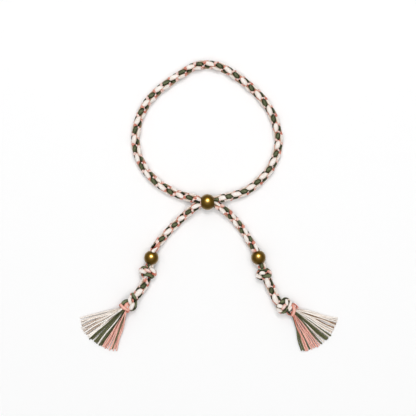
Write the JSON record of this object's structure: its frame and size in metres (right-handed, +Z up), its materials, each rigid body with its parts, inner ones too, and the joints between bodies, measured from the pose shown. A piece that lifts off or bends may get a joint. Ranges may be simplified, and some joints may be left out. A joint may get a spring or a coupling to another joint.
{
  "type": "braided bracelet",
  "caption": "Braided friendship bracelet: a round cord loop closed by a sliding metal bead, its tails with round beads, knots and fanned thread tassels.",
  "frame": {"origin": "on the table, under the middle of the bracelet's outline as it lies flat", "axes": "+X to the right, +Y from the tassels towards the loop, +Z up from the table"},
  "size_m": [0.1065, 0.1202, 0.0065],
  "materials": {
    "cream_thread": "satin",
    "green_thread": "satin",
    "pink_thread": "satin",
    "antique_brass": "satin"
  },
  "bodies": {
    "root": {"loop_braid": "cream_thread", "slide_bead": "antique_brass", "tail_braid_left": "cream_thread", "tail_bead_left": "antique_brass", "stopper_knot_left": "green_thread", "tail_end_left": "cream_thread", "end_knot_left": "green_thread", "whipping_left": "pink_thread", "tassel_left": "cream_thread", "tail_braid_right": "cream_thread", "tail_bead_right": "antique_brass", "stopper_knot_right": "green_thread", "tail_end_right": "cream_thread", "end_knot_right": "green_thread", "whipping_right": "pink_thread", "tassel_right": "cream_thread"}
  },
  "joints": []
}
